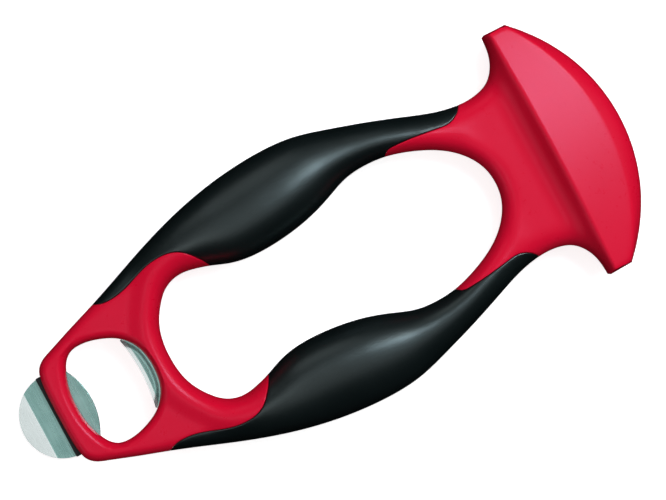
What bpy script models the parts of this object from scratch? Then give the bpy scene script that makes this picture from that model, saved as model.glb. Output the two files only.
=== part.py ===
"""Hand opener for crown caps, screw caps and ring pulls, modelled lying on its back.

A red two-half body carries four moulded-on grip halves, a stainless pry blade through its tip, a
stainless lip across the cap hole, a seal round the blade and eight screws under plugs in its rear half.

Lengths are in millimetres until they go into a mesh. Station s runs along the tool from the blade's
tip, y runs across it and z is height above the parting plane, where the two halves meet.
"""

import math

import bmesh
import bpy
import numpy as np
from mathutils import Matrix, Vector
from mathutils.geometry import delaunay_2d_cdt

MM = 0.001

# Driving dimensions.
LENGTH = 219.3
GAP = 0.3  # between touching pieces
HALF_GAP = GAP / 2
CURVE_STEP = 3.6  # chord along an outline
GRID_STEP = 5.2  # mesh points inside an outline
RIM_ROWS = (0.5, 2.0)  # rows of mesh points that follow a rounded rim

PLATE_HEIGHT = 4.8  # half thickness of the flat ring round the cap hole
EDGE_LAND = 0.7  # upright edge left at the parting plane
CORE_INSET = 2.5  # how far an arm's core lies under its grip's surface
CORE_CLEARANCE = 0.4

HEAD_HALF_WIDTH = 43.7
HEAD_INNER = 192.4  # where the head's end face starts
HEAD_CREST = 194.3
HEAD_CREST_HEIGHT = 13.2
HEAD_FACET_SLOPE = 0.12
HEAD_CROWN_RADIUS = 500.0  # the palm face also falls gently towards both ends
HEAD_RIM_HEIGHT = 4.0
OUTER_ARC_RADIUS = 59.4
OUTER_ARC_CENTRE = LENGTH - OUTER_ARC_RADIUS
RIDGE_ARC_RADIUS = 75.4
RIDGE_ARC_CENTRE = 213.3 - RIDGE_ARC_RADIUS
HEAD_WALL = 2.8

BLADE_THICKNESS = 1.5
BLADE_TIP_RADIUS = 14.2
BLADE_LIP_STATION = 25.0
BLADE_LIP_RADIUS = 23.5
BLADE_BEVEL_STATION = 6.3
BLADE_BEVEL_DEGREES = 8.5

LIP_THICKNESS = 1.2
LIP_EDGE_STATION = 43.3
LIP_EDGE_RADIUS = 56.0
LIP_ROOT_STATION = 50.8
LIP_ROOT_RADIUS = 21.8
LIP_HALF_LENGTH = 12.3

SEAL_FRONT = 11.5
SEAL_BACK = 14.0
SEAL_HALF_LENGTH = 14.9
SEAL_HALF_HEIGHT = 2.4

# Control points (s, y) of the half outlines, from the axis outwards or back to it.
OUTER = [(12.7, 0), (12.8, 7), (13.4, 13.5), (14.3, 16.2), (16.4, 18.4), (20, 20), (28, 22.9), (39.6, 26.9),
         (48, 30), (60, 34.6), (72, 38.7), (84, 41.9), (96, 44), (110, 45), (122, 44.2), (134, 41), (146, 37.1),
         (158, 32.7), (167, 29.5), (175, 27.9), (182, 28.2), (186.5, 30), (190, 34), (191.8, 38.5),
         (HEAD_INNER, HEAD_HALF_WIDTH)]
OPENING = [(53.8, 0), (54.3, 6), (55.8, 11), (59, 16.2), (63, 20.2), (67, 21.9), (71, 22.1), (75, 21.3),
           (79.5, 19.9), (85, 17.8), (91, 16.5), (97, 16.2), (104, 16.6), (111, 17.6), (118, 19.3), (125, 21.8),
           (131, 24), (138, 24.9), (146, 24.3), (155, 21.6), (161, 18.8), (166, 15.4), (170, 11.2), (173, 5.5),
           (173.8, 0)]
CAP_HOLE = [(19.6, 0), (20.1, 6), (21.4, 10.5), (23.6, 14.8), (26, 16.7), (29.3, 17.3), (33, 16.9), (38, 15.3),
            (42.2, 12.9), (44.6, 10.4), (46.5, 7), (47.4, 3), (47.6, 0)]
SEAM_TIP = [(39.6, 26.9), (42.5, 25.7), (46, 25.4), (50, 25.9), (56, 27.8), (62, 29.6), (66, 30), (69.5, 29.7),
            (73, 28.3), (76, 25.5), (78.2, 22.5), (79.5, 19.9)]
SEAM_HEAD = [(175, 27.9), (173.8, 26.3), (172, 24.9), (169.3, 23.9), (165.5, 24.1), (160, 24.9), (155, 25.5),
             (150.5, 25.8), (147.5, 25.5), (146, 24.3)]

# Half thickness along the tool, and how far in from each rim the surface keeps rising.
ARM_HEIGHT = [(0, 4.8), (34, 4.8), (46, 5.1), (56, 6.1), (66, 7.8), (76, 9.4), (88, 10.6), (103, 11),
              (112, 10.8), (120, 9.9), (128, 8.8), (137, 8.0), (150, 7.6), (163, 7.4), (176, 6.5), (220, 6.4)]
OUTER_ROUNDING = [(0, 2.4), (34, 2.6), (50, 4.5), (66, 8.5), (80, 14), (150, 14), (165, 8), (176, 6), (220, 6)]
OPENING_ROUNDING = [(0, 3.4), (53, 3.6), (60, 4.9), (68, 7), (80, 14), (150, 14), (163, 7.5), (174, 4.5), (220, 4.5)]
HOLE_ROUNDING = 2.6
BEAD_HEIGHT = [(0, 7.1), (54, 7.1), (60, 7.5), (68, 8.6), (76, 9.4), (88, 10.6), (220, 6.8)]
BEAD_FALL = 7.5

# (s, y, radius) down the middle of an arm's hollow.
ARM_HOLLOW = [(74, 28.6, 2.6), (84, 30.3, 4.6), (96, 30.8, 5.7), (110, 31, 5.6), (124, 32.4, 4.4),
              (138, 32.4, 3.2), (152, 29.4, 2.3)]

# (s, y, bore radius, depth of the screw's seat below the parting plane, screw length under its head)
SCREW_PLACES = [(17.0, 9.0, 2.1, 2.1, 5.4), (51.5, 21.6, 2.9, 2.6, 7.0), (183.0, 13.5, 2.9, 3.2, 8.0),
                (203.5, 24.0, 2.9, 4.0, 12.0)]
SCREW_HEAD_HEIGHT = 1.1
SHANK_RADIUS = 1.1
PLUG_FLOOR = {17.0: 3.45, 51.5: 4.0, 183.0: 4.6, 203.5: 9.6}  # a plug's inner face, by its screw's station

PALETTE = {
    "body_red": ((0.62, 0.012, 0.03), 0.42, 0.0),
    "grip_black": ((0.012, 0.016, 0.017), 0.5, 0.0),
    "blade_steel": ((0.56, 0.6, 0.59), 0.3, 1.0),
    "seal_black": ((0.01, 0.01, 0.01), 0.6, 0.0),
    "screw_steel": ((0.5, 0.5, 0.5), 0.3, 1.0),
}


# ---------------------------------------------------------------- curves in plan

def spans_through(points, step):
    """The smooth curve through the points, as one list of samples for each span, without the span's end."""
    p = np.array(points, float)
    chord = np.linalg.norm(np.diff(p[:, :2], axis=0), axis=1)[:, None]
    slope = np.diff(p, axis=0) / chord
    tangent = np.vstack([slope[:1], (slope[:-1] * chord[1:] + slope[1:] * chord[:-1]) / (chord[1:] + chord[:-1]),
                         slope[-1:]])
    spans = []
    for i in range(len(p) - 1):
        count = max(1, round(float(chord[i, 0]) / step))
        t = (np.arange(count) / count)[:, None]
        spans.append((2 * t**3 - 3 * t**2 + 1) * p[i] + (t**3 - 2 * t**2 + t) * chord[i] * tangent[i]
                     + (3 * t**2 - 2 * t**3) * p[i + 1] + (t**3 - t**2) * chord[i] * tangent[i + 1])
    return spans


def half_curve(points, step=CURVE_STEP, first=0, last=None):
    """Samples of a half outline between two of its points. It crosses the axis squarely at either end on it."""
    last = len(points) - 1 if last is None else last
    before = [(points[1][0], -points[1][1])] if points[0][1] == 0 else []
    after = [(points[-2][0], -points[-2][1])] if points[-1][1] == 0 else []
    spans = spans_through(before + list(points) + after, step)
    chosen = spans[len(before) + first:len(before) + last]
    return np.vstack(chosen + [np.array([points[last]], float)])


def mirrored(path):
    return path[::-1] * (1, -1)


def closed_over_axis(path):
    """A half path from the axis to the axis, joined to its mirror image, without repeated points."""
    return np.vstack([path[:-1], mirrored(path)[:-1]])


def joined(*paths):
    """Paths laid end to end, each dropping the point that the next one repeats."""
    return np.vstack([p[:-1] for p in paths[:-1]] + [paths[-1]])


def shifted(path, distance):
    """The path moved sideways, to its left when distance is positive."""
    along = np.gradient(path, axis=0)
    along /= np.linalg.norm(along, axis=1)[:, None]
    return path + distance * np.stack([-along[:, 1], along[:, 0]], axis=1)


def head_arc(centre, radius, half_width, step):
    """An arc of the head from y = half_width to the axis."""
    top = math.asin(half_width / radius)
    angles = np.linspace(top, 0, max(2, round(top * radius / step)))
    return np.stack([centre + radius * np.cos(angles), radius * np.sin(angles)], axis=1)


def outline_parts(step=CURVE_STEP):
    """The half outlines cut where the grips start and end."""
    o1, o2 = OUTER.index(SEAM_TIP[0]), OUTER.index(SEAM_HEAD[0])
    b1, b2 = OPENING.index(SEAM_TIP[-1]), OPENING.index(SEAM_HEAD[-1])
    arc = head_arc(OUTER_ARC_CENTRE, OUTER_ARC_RADIUS, HEAD_HALF_WIDTH, step)
    return {
        "outer_tip": half_curve(OUTER, step, 0, o1),
        "outer_arm": half_curve(OUTER, step, o1, o2),
        "outer_head": np.vstack([half_curve(OUTER, step, o2), arc]),
        "opening_tip": half_curve(OPENING, step, 0, b1),
        "opening_arm": half_curve(OPENING, step, b1, b2),
        "opening_head": half_curve(OPENING, step, b2),
        "cap_hole": half_curve(CAP_HOLE, min(step, 2.6)),
        "seam_tip": half_curve(SEAM_TIP, step),
        "seam_head": half_curve(SEAM_HEAD, step),
    }


PARTS = outline_parts()
OUTER_LOOP = closed_over_axis(joined(PARTS["outer_tip"], PARTS["outer_arm"], PARTS["outer_head"]))
OPENING_LOOP = closed_over_axis(joined(PARTS["opening_tip"], PARTS["opening_arm"], PARTS["opening_head"]))
HOLE_LOOP = closed_over_axis(PARTS["cap_hole"])


def distance_to(loop, points):
    """How far each point is from a closed polyline."""
    start, end = loop, np.roll(loop, -1, axis=0)
    edge = end - start
    to_point = points[:, None, :] - start[None, :, :]
    share = (to_point * edge).sum(2) / np.maximum((edge * edge).sum(1), 1e-12)
    nearest = to_point - np.clip(share, 0, 1)[:, :, None] * edge
    return np.sqrt((nearest**2).sum(2)).min(1)


def inside(loops, points):
    """Which points lie inside the first loop and outside the holes, by counting crossings."""
    crossings = np.zeros(len(points), int)
    for loop in loops:
        a, b = loop, np.roll(loop, -1, axis=0)
        for (ax, ay), (bx, by) in zip(a, b):
            if ay != by:
                spans = (ay > points[:, 1]) != (by > points[:, 1])
                crossings += spans & (points[:, 0] < ax + (points[:, 1] - ay) / (by - ay) * (bx - ax))
    return crossings % 2 == 1


# ---------------------------------------------------------------- the body's surface

def along(table, s):
    """A smooth run of values along the tool."""
    fine = np.vstack(spans_through(table, 1.0) + [np.array([table[-1]], float)])
    return np.interp(s, fine[:, 0], fine[:, 1])


def rise(distance, width, power=2.0):
    """A rounded rim: 0 at the edge, 1 from width inwards."""
    t = np.clip(distance / width, 0, 1)
    return (1 - (1 - t) ** power) ** (1 / power)


def ring_height(s, y, to_outer, to_opening, to_hole):
    """Half thickness of the tip ring, the arms and the neck."""
    wall = np.sort(np.stack([to_outer, to_opening, to_hole]), axis=0)
    middle = (wall[0] + wall[1]) / 2
    base = along(ARM_HEIGHT, s)
    opening_round = np.minimum(along(OPENING_ROUNDING, s), middle)
    fall = np.clip((to_opening - opening_round) / BEAD_FALL, 0, 1)
    bead = np.maximum(along(BEAD_HEIGHT, s) - base, 0) * np.cos(math.pi / 2 * fall) ** 2
    height = base + bead * (s < 90)
    height = height * rise(to_opening, opening_round)
    height = height * rise(to_outer, np.minimum(along(OUTER_ROUNDING, s), np.where(s < 60, 99, middle)), 2.3)
    return height * rise(to_hole, HOLE_ROUNDING, 2.4)


def head_facet(s, y):
    """The palm face of the T head: sloping, and slightly crowned across."""
    return HEAD_CREST_HEIGHT - HEAD_FACET_SLOPE * (s - HEAD_CREST) - y**2 / (2 * HEAD_CROWN_RADIUS)


def head_height(s, y, to_outer):
    """Half thickness of the T head: its palm face, a rim that falls to the outer arc, and a steep inner wall."""
    facet = head_facet(s, y)
    beyond = np.maximum(np.hypot(s - RIDGE_ARC_CENTRE, y) - RIDGE_ARC_RADIUS, 0)
    before = np.maximum(OUTER_ARC_RADIUS - np.hypot(s - OUTER_ARC_CENTRE, y), 0)
    t = beyond / (beyond + before + 1e-6)
    rim = facet - (facet - HEAD_RIM_HEIGHT) * (0.45 * t + 0.55 * (1 - np.sqrt(1 - t * t)))
    reach = (HEAD_CREST + 0.7 - s) / 5.0
    wall = np.where(reach < 1, HEAD_CREST_HEIGHT * np.sqrt(1 - np.clip(reach, 0, 1) ** 2), 12 * (1 - reach))
    corner = 1.2
    top = np.minimum(rim, wall) - (corner - np.sqrt(corner**2 - (corner - np.clip(to_outer, 0, corner)) ** 2))
    return top


def body_height(points):
    """Half thickness of the finished body at points in plan."""
    s, y = points[:, 0], points[:, 1]
    to_outer, to_opening, to_hole = (distance_to(loop, points) for loop in (OUTER_LOOP, OPENING_LOOP, HOLE_LOOP))
    ring = ring_height(s, y, to_outer, to_opening, to_hole)
    head = head_height(s, y, to_outer)
    blend = 3.0
    near = np.maximum(blend - np.abs(ring - head), 0) / blend
    both = np.maximum(ring, head) + near**2 * blend / 4 * rise(to_outer, 3.0)
    return np.sqrt(both**2 * (both > 0) + EDGE_LAND**2)


def core_height(points):
    """Half thickness of an arm's core, under the grip."""
    return np.maximum(body_height(points) - CORE_INSET, EDGE_LAND)


# ---------------------------------------------------------------- meshes

def rim_rows(loops):
    """Rows of points that follow the body's rims inwards."""
    rows = []
    for loop in (OUTER_LOOP, OPENING_LOOP, HOLE_LOOP):
        closed = np.vstack([loop[-1:], loop, loop[:1]])
        for depth in RIM_ROWS:
            for side in (depth, -depth):
                moved = shifted(closed, side)[1:-1]
                rows.append(moved[inside(loops, moved)])
    return np.vstack(rows)


def thinned(points, spacing, kept):
    """Points at least spacing from those kept and from each other, taken in order."""
    for point in points:
        if len(kept) == 0 or np.min(np.hypot(*(kept - point).T)) > spacing:
            kept = np.vstack([kept, point])
    return kept


def plan_points(loops, extra):
    """Points to mesh inside a plan region: the rim rows, feature lines and a staggered grid."""
    border = np.vstack(loops)
    low, high = border.min(0), border.max(0)
    rows = []
    for i, y in enumerate(np.arange(low[1], high[1], GRID_STEP * 0.87)):
        s = np.arange(low[0] + (i % 2) * GRID_STEP / 2, high[0], GRID_STEP)
        rows.append(np.stack([s, np.full_like(s, y)], axis=1))
    grid = np.vstack(rows)
    found = border
    for points, spacing in ((extra, 0.8), (rim_rows(loops), 0.42), (grid, GRID_STEP * 0.62)):
        points = points[inside(loops, points)]
        clear = np.min([distance_to(loop, points) for loop in loops], axis=0) > 0.4
        found = thinned(points[clear], spacing, found)
    return found[len(border):]


def head_feature_lines():
    """Points along the head's crest, the foot of its inner wall and its ridge."""
    across = np.arange(-HEAD_HALF_WIDTH + 1, HEAD_HALF_WIDTH, GRID_STEP)
    lines = [np.stack([np.full_like(across, s), across], axis=1)
             for s in (HEAD_CREST - 4.5, HEAD_CREST - 2.6, HEAD_CREST - 0.8, HEAD_CREST + 1)]
    ridge = head_arc(RIDGE_ARC_CENTRE, RIDGE_ARC_RADIUS, HEAD_HALF_WIDTH - 1, CURVE_STEP)
    rim = head_arc(OUTER_ARC_CENTRE, OUTER_ARC_RADIUS - 1.6, HEAD_HALF_WIDTH - 3, CURVE_STEP)
    return np.vstack(lines + [ridge, mirrored(ridge), rim, mirrored(rim)])


def link(name, mesh, group):
    obj = bpy.data.objects.new(name, mesh)
    group.objects.link(obj)
    return obj


def slab(name, loops, top, floor, group, extra=np.empty((0, 2))):
    """A closed solid over a plan region: flat at the floor, its top lifted to the height rule."""
    inner = plan_points(loops, extra)
    points = [Vector(p) for loop in loops for p in loop] + [Vector(p) for p in inner]
    edges, start = [], 0
    for loop in loops:
        edges += [(start + i, start + (i + 1) % len(loop)) for i in range(len(loop))]
        start += len(loop)
    found, _, triangles, *_ = delaunay_2d_cdt(points, edges, [], 0, 1e-5, False)
    plan = np.array([tuple(p) for p in found])
    centres = plan[np.array(triangles)].mean(1)
    triangles = [t for t, keep in zip(triangles, inside(loops, centres)) if keep]

    bm = bmesh.new()
    corners = [bm.verts.new((s * MM, y * MM, floor * MM)) for s, y in plan]
    for triangle in triangles:
        bm.faces.new([corners[i] for i in triangle])
    bmesh.ops.delete(bm, geom=[v for v in bm.verts if not v.link_faces], context="VERTS")
    grown = bmesh.ops.extrude_face_region(bm, geom=list(bm.faces))["geom"]
    lifted = [v for v in grown if isinstance(v, bmesh.types.BMVert)]
    heights = top(np.array([(v.co.x / MM, v.co.y / MM) for v in lifted]))
    for vertex, height in zip(lifted, heights):
        vertex.co.z = float(height) * MM
    under = [f for f in bm.faces if all(abs(v.co.z - floor * MM) < 1e-9 for v in f.verts)]
    bmesh.ops.dissolve_limit(bm, angle_limit=0.001, verts=list({v for f in under for v in f.verts}),
                             edges=list({e for f in under for e in f.edges if not e.is_boundary}))
    bmesh.ops.recalc_face_normals(bm, faces=bm.faces)
    mesh = bpy.data.meshes.new(name)
    bm.to_mesh(mesh)
    bm.free()
    return link(name, mesh, group)


def baked(curve, name, group):
    """A curve's solid as a mesh with its caps welded on. The curve is removed."""
    bpy.context.view_layer.update()
    mesh = bpy.data.meshes.new_from_object(curve.evaluated_get(bpy.context.evaluated_depsgraph_get()))
    mesh.transform(curve.matrix_world)
    bpy.data.objects.remove(curve)
    bm = bmesh.new()
    bm.from_mesh(mesh)
    bmesh.ops.remove_doubles(bm, verts=bm.verts, dist=1e-6)
    bmesh.ops.recalc_face_normals(bm, faces=bm.faces)
    bm.to_mesh(mesh)
    bm.free()
    return link(name, mesh, group)


def prism(name, path, low, high, group):
    """An outline drawn up into a plate between two heights."""
    data = bpy.data.curves.new(name, "CURVE")
    data.dimensions = "2D"
    data.fill_mode = "BOTH"
    data.extrude = (high - low) / 2 * MM
    spline = data.splines.new("POLY")
    spline.points.add(len(path) - 1)
    for point, (s, y) in zip(spline.points, path):
        point.co = (s * MM, y * MM, 0, 1)
    spline.use_cyclic_u = True
    curve = link(name + "_outline", data, group)
    curve.location.z = (low + high) / 2 * MM
    return baked(curve, name, group)


def adopt(obj, name, group):
    """Name a primitive just added, bake its placing into its mesh and move it to a collection."""
    obj.name = obj.data.name = name
    bpy.context.view_layer.update()
    obj.data.transform(obj.matrix_world)
    obj.matrix_world = Matrix.Identity(4)
    for other in obj.users_collection:
        other.objects.unlink(obj)
    group.objects.link(obj)
    return obj


def block(name, low, high, group):
    """A box between two corners."""
    low, high = np.array(low, float) * MM, np.array(high, float) * MM
    bpy.ops.mesh.primitive_cube_add(size=1, location=(low + high) / 2, scale=high - low)
    return adopt(bpy.context.object, name, group)


def cylinder(name, s, y, low, high, radius, group, sides=20):
    """An upright cylinder between two heights."""
    bpy.ops.mesh.primitive_cylinder_add(vertices=sides, radius=radius * MM, depth=(high - low) * MM,
                                        location=(s * MM, y * MM, (low + high) / 2 * MM))
    return adopt(bpy.context.object, name, group)


def arm_hollow(name, side, group):
    """A tapering tube down one arm, as a curve turned into a mesh."""
    data = bpy.data.curves.new(name, "CURVE")
    data.dimensions = "3D"
    data.bevel_depth = MM
    data.bevel_resolution = 2
    data.use_fill_caps = True
    spline = data.splines.new("POLY")
    route = np.vstack(spans_through(ARM_HOLLOW, 7.0) + [np.array([ARM_HOLLOW[-1]])])
    spline.points.add(len(route) - 1)
    for point, (s, y, radius) in zip(spline.points, route):
        point.co = (s * MM, side * y * MM, 0, 1)
        point.radius = radius
    return baked(link(name + "_route", data, group), name, group)


def head_hollow(name, low, high, group):
    """One pocket of the head's hollow, between two ribs."""
    arc_radius = RIDGE_ARC_RADIUS - HEAD_WALL
    angles = np.linspace(math.asin(low / arc_radius), math.asin(high / arc_radius), 5)
    arc = np.stack([RIDGE_ARC_CENTRE + arc_radius * np.cos(angles), arc_radius * np.sin(angles)], axis=1)
    inner = HEAD_CREST + HEAD_WALL
    return slab(name, [np.vstack([[inner, high], [inner, low], arc])],
                lambda p: head_facet(p[:, 0], p[:, 1]) - HEAD_WALL, -1.0, group)


def cut(target, *others, operation="DIFFERENCE"):
    """Boolean the others out of the target, or into it, and keep the result as the target's own mesh."""
    for other in others:
        modifier = target.modifiers.new(other.name, "BOOLEAN")
        modifier.operation = operation
        modifier.object = other
    bpy.context.view_layer.update()
    mesh = bpy.data.meshes.new_from_object(target.evaluated_get(bpy.context.evaluated_depsgraph_get()))
    target.modifiers.clear()
    target.data = mesh
    return target


def copy_of(obj, name, group):
    mesh = obj.data.copy()
    return link(name, mesh, group)


def turned_over(obj, name, group):
    """The same shape on the other side of the parting plane."""
    mesh = obj.data.copy()
    mesh.transform(Matrix.Diagonal((1, 1, -1, 1)))
    mesh.flip_normals()
    return link(name, mesh, group)


# ---------------------------------------------------------------- plan regions

def trimmed(path, first=HALF_GAP * 1.3, last=HALF_GAP * 1.3):
    """The path with its two ends drawn in along it."""
    path = path.copy()
    path[0] += (path[1] - path[0]) / np.linalg.norm(path[1] - path[0]) * first
    path[-1] += (path[-2] - path[-1]) / np.linalg.norm(path[-2] - path[-1]) * last
    return path


def tip_region():
    """The red round the cap hole, back to the grips."""
    seam = shifted(PARTS["seam_tip"], -HALF_GAP)[1:-1]
    outer, opening = trimmed(PARTS["outer_tip"], first=0), trimmed(PARTS["opening_tip"], first=0)
    return closed_over_axis(np.vstack([outer, seam, opening[::-1]]))


def head_region():
    """The red of the neck and the T head."""
    seam = shifted(PARTS["seam_head"], HALF_GAP)[1:-1]
    outer, opening = trimmed(PARTS["outer_head"], last=0), trimmed(PARTS["opening_head"], last=0)
    return closed_over_axis(np.vstack([opening[::-1], seam[::-1], outer]))


def arm_region():
    """The black of one arm."""
    tip, head = shifted(PARTS["seam_tip"], HALF_GAP)[1:-1], shifted(PARTS["seam_head"], -HALF_GAP)[1:-1]
    return np.vstack([trimmed(PARTS["outer_arm"]), head, trimmed(PARTS["opening_arm"])[::-1], tip[::-1]])


def core_region():
    """The arm's core in plan: drawn in from both sides, and run on under the red at either end."""
    outer = half_curve(OUTER, CURVE_STEP, OUTER.index(SEAM_TIP[0]), OUTER.index(SEAM_HEAD[0]))
    inner = half_curve(OPENING, CURVE_STEP, OPENING.index((67, 21.9)), OPENING.index((161, 18.8)))
    return np.vstack([shifted(outer, -CORE_INSET), shifted(inner, CORE_INSET)[::-1]])


def circle_path(s, y, radius, count=20):
    turn = np.arange(count) / count * 2 * math.pi
    return np.stack([s + radius * np.cos(turn), y + radius * np.sin(turn)], axis=1)


def blade_path(gap=0.0, step=1.6):
    """The blade's outline: a round tip, straight sides and a flatter arc behind, grown by a gap."""
    radius, back = BLADE_TIP_RADIUS + gap, BLADE_LIP_RADIUS + gap
    turn = np.linspace(math.pi / 2, 0, round(radius * math.pi / 2 / step))
    tip = np.stack([BLADE_TIP_RADIUS - radius * np.sin(turn[::-1]), radius * np.cos(turn[::-1])], axis=1)[::-1]
    reach = np.linspace(math.asin(radius / back), 0, 11)
    centre = BLADE_LIP_STATION - BLADE_LIP_RADIUS
    lip = np.stack([centre + back * np.cos(reach), back * np.sin(reach)], axis=1)
    return closed_over_axis(np.vstack([tip, lip]))


def lip_path(gap=0.0):
    """The cap lip's outline: its free edge in the hole and its root in the bridge, grown by a gap."""
    centre, radius = LIP_EDGE_STATION - LIP_EDGE_RADIUS, LIP_EDGE_RADIUS - gap
    half = LIP_HALF_LENGTH + gap
    turn = np.linspace(0, math.asin(half / radius), 6)
    edge = np.stack([centre + radius * np.cos(turn), radius * np.sin(turn)], axis=1)
    root_radius = LIP_ROOT_RADIUS + gap
    turn = np.linspace(math.asin((half + 2.2) / root_radius), 0, 8)
    root = np.stack([LIP_ROOT_STATION - LIP_ROOT_RADIUS + root_radius * np.cos(turn), root_radius * np.sin(turn)],
                    axis=1)
    return closed_over_axis(np.vstack([edge, root]))


# ---------------------------------------------------------------- the pieces

def arm_core(name, side, group):
    """The red core that runs through one arm."""
    region = core_region() if side > 0 else mirrored(core_region())
    return slab(name, [region], core_height, -1.5, group)


def grown(obj, gap):
    """Move a slab's walls and its two faces outwards by the gap."""
    bm = bmesh.new()
    bm.from_mesh(obj.data)
    moves = []
    for vertex in bm.verts:
        walls = [face.normal for face in vertex.link_faces if abs(face.normal.z) < 0.05]
        move = Vector((0, 0, 1 if vertex.co.z > 0 else -1))
        if walls:
            outward = sum(walls, Vector()).normalized()
            move += outward / max(0.5, min(outward.dot(wall) for wall in walls))
        moves.append(move * gap * MM)
    for vertex, move in zip(bm.verts, moves):
        vertex.co += move
    bm.to_mesh(obj.data)
    bm.free()
    return obj


def whole_half(group):
    """The red half without its screw holes: tip, head and both arm cores, cut flat at the parting plane."""
    body = slab("half_tip", [tip_region(), HOLE_LOOP], body_height, -1.0, group)
    head = slab("half_head", [head_region()], body_height, -1.0, group, head_feature_lines())
    cut(body, head, arm_core("half_core", 1, group), arm_core("half_core_other", -1, group), operation="UNION")
    hollows = [arm_hollow("arm_hollow_left", 1, group), arm_hollow("arm_hollow_right", -1, group)]
    for low, high in ((2.0, 18.5), (29.5, 39.0), (-18.5, -2.0), (-39.0, -29.5)):
        hollows.append(head_hollow("head_hollow", low, high, group))
    hollows.append(block("neck_hollow", (179.5, -8.5, -1), (190, 8.5, 4.2), group))
    hollows.append(prism("blade_pocket", blade_path(GAP), -1.2, BLADE_THICKNESS / 2 + HALF_GAP, group))
    hollows.append(prism("lip_pocket", lip_path(GAP), -1.3, LIP_THICKNESS / 2 + HALF_GAP, group))
    reach = SEAL_HALF_LENGTH + GAP
    hollows.append(block("seal_groove", (5, -reach, -1.4), (SEAL_BACK + GAP, reach, SEAL_HALF_HEIGHT + HALF_GAP),
                         group))
    parting = block("parting", (-10, -60, -5), (230, 60, HALF_GAP), group)
    return cut(body, *hollows, parting)


def front_shell(half, group, cutters):
    """The half without screw seats, with blind holes for the screws' threads."""
    shell = copy_of(half, "front_shell", group)
    holes = [cylinder("thread_hole", s, side * y, -2, length - seat + 0.4, SHANK_RADIUS + GAP, cutters, 12)
             for s, y, _, seat, length in SCREW_PLACES for side in (1, -1)]
    return cut(shell, *holes)


def rear_shell(half, group, cutters):
    """The half with stepped holes for the screws and their plugs."""
    shell = turned_over(half, "rear_shell", group)
    holes = []
    for s, y, bore, seat, _ in SCREW_PLACES:
        for side in (1, -1):
            holes.append(cylinder("shank_hole", s, side * y, -seat - 1, 1, SHANK_RADIUS + GAP, cutters, 12))
            holes.append(cylinder("screw_bore", s, side * y, -20, -seat, bore, cutters))
    return cut(shell, *holes)


def grip(name, side, front, group, cutters):
    """One moulded grip half: a skin over the arm's core."""
    region = arm_region() if side > 0 else mirrored(arm_region())
    skin = slab(name if front else name + "_front", [region], body_height, HALF_GAP, group if front else cutters)
    cut(skin, grown(arm_core("grip_pocket", side, cutters), CORE_CLEARANCE))
    return skin if front else turned_over(skin, name, group)


def pry_blade(group, cutters):
    """The stainless blade, ground thin towards its tip and drilled for two screws."""
    half = BLADE_THICKNESS / 2
    blade = prism("pry_blade", blade_path(), -half, half, group)
    bevel = block("bevel", (-8, -20, 0), (0, 20, 4), cutters)
    bevel.data.transform(Matrix.Translation((BLADE_BEVEL_STATION * MM, 0, half * MM))
                         @ Matrix.Rotation(math.radians(-BLADE_BEVEL_DEGREES), 4, "Y"))
    s, y = SCREW_PLACES[0][:2]
    holes = [cylinder("blade_hole", s, side * y, -2, 2, SHANK_RADIUS + GAP, cutters) for side in (1, -1)]
    return cut(blade, bevel, *holes)


def cap_rest_lip(group, cutters):
    """The stainless lip that a cap's rim sits against, chamfered along its free edge."""
    half = LIP_THICKNESS / 2
    lip = prism("cap_rest_lip", lip_path(), -half, half, group)
    chamfer = block("lip_chamfer", (-8, -20, 0), (0, 20, 4), cutters)
    chamfer.data.transform(Matrix.Translation(((LIP_EDGE_STATION + 1.2) * MM, 0, half * MM))
                           @ Matrix.Rotation(math.radians(-18), 4, "Y"))
    return cut(lip, chamfer)


def blade_seal(group, cutters):
    """The black collar round the blade where it leaves the body."""
    seal = block("blade_seal", (SEAL_FRONT, -SEAL_HALF_LENGTH, -SEAL_HALF_HEIGHT),
                 (SEAL_BACK, SEAL_HALF_LENGTH, SEAL_HALF_HEIGHT), group)
    half = BLADE_THICKNESS / 2 + HALF_GAP
    return cut(seal, prism("seal_slot", blade_path(0.2), -half, half, cutters))


def screw(name, place, side, group, cutters):
    """A pan-head screw standing up from its seat, with a slot across its head."""
    s, y, bore, seat, length = place
    head = cylinder(name, s, side * y, -seat - SCREW_HEAD_HEIGHT, -seat - HALF_GAP, bore - GAP, group)
    shank = cylinder("shank", s, side * y, -seat - SCREW_HEAD_HEIGHT / 2, length - seat, SHANK_RADIUS, cutters, 12)
    slot = block("slot", (s - 3, side * y - 0.35, -seat - 2), (s + 3, side * y + 0.35, -seat - 0.7), cutters)
    cut(head, shank, operation="UNION")
    return cut(head, slot)


def plug(name, place, side, group, cutters):
    """A press-in plug over a screw, its outer face flush with the rear surface."""
    s, y, bore = place[:3]
    disc = slab("plug_disc", [circle_path(s, side * y, bore - HALF_GAP)],
                lambda p: body_height(p) - 0.1, PLUG_FLOOR[s], cutters)
    return turned_over(disc, name, group)


# ---------------------------------------------------------------- assembly

def material(name):
    colour, roughness, metallic = PALETTE[name]
    made = bpy.data.materials.new(name)
    made.use_nodes = True
    shader = made.node_tree.nodes["Principled BSDF"]
    shader.inputs["Base Color"].default_value = (*colour, 1)
    shader.inputs["Roughness"].default_value = roughness
    shader.inputs["Metallic"].default_value = metallic
    return made


def paint(obj, made):
    obj.data.materials.clear()
    obj.data.materials.append(made)
    for polygon in obj.data.polygons:
        polygon.material_index = 0


def collection(name, cutting=False):
    made = bpy.data.collections.new(name)
    bpy.context.scene.collection.children.link(made)
    made.hide_render = cutting
    return made


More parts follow.
